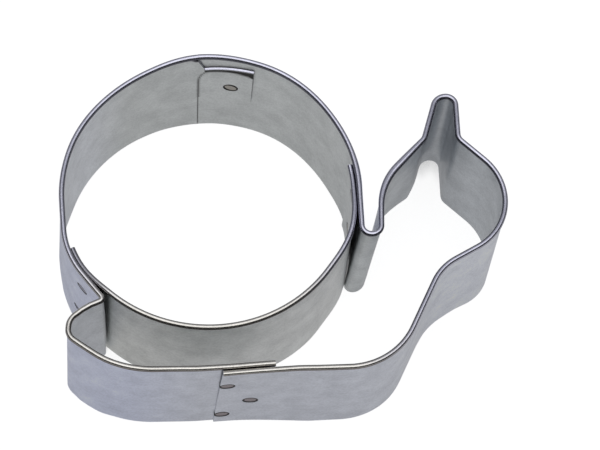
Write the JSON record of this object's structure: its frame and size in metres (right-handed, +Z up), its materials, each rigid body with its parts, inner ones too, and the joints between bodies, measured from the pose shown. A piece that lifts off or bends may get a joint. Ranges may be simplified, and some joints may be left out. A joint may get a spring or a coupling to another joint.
{
  "type": "cookie cutter",
  "caption": "Snail-shaped cookie cutter bent from thin tinplate strips on edge, with a rolled rim on top, a bare cutting edge below and spot-welded laps.",
  "frame": {"origin": "under the middle of the outline's box, on the plane of the cutting edge", "axes": "+X along the straight base towards the head, +Y from the base to the shell, +Z up from the cutting edge to the rolled rim"},
  "size_m": [0.0736, 0.0576, 0.0254],
  "materials": {
    "tinplate": "satin tin coat on thin sheet steel, soft broad reflections",
    "weld": "pressed spot weld, duller and a little browned"
  },
  "bodies": {
    "root": {"tail_strip": "tinplate", "head_strip": "tinplate", "shell_arc": "tinplate", "base_weld_upper": "weld", "base_weld_middle": "weld", "base_weld_lower": "weld", "tongue_weld": "weld", "tail_weld_upper": "weld", "tail_weld_lower": "weld", "neck_weld_upper": "weld", "neck_weld_lower": "weld"}
  },
  "joints": []
}
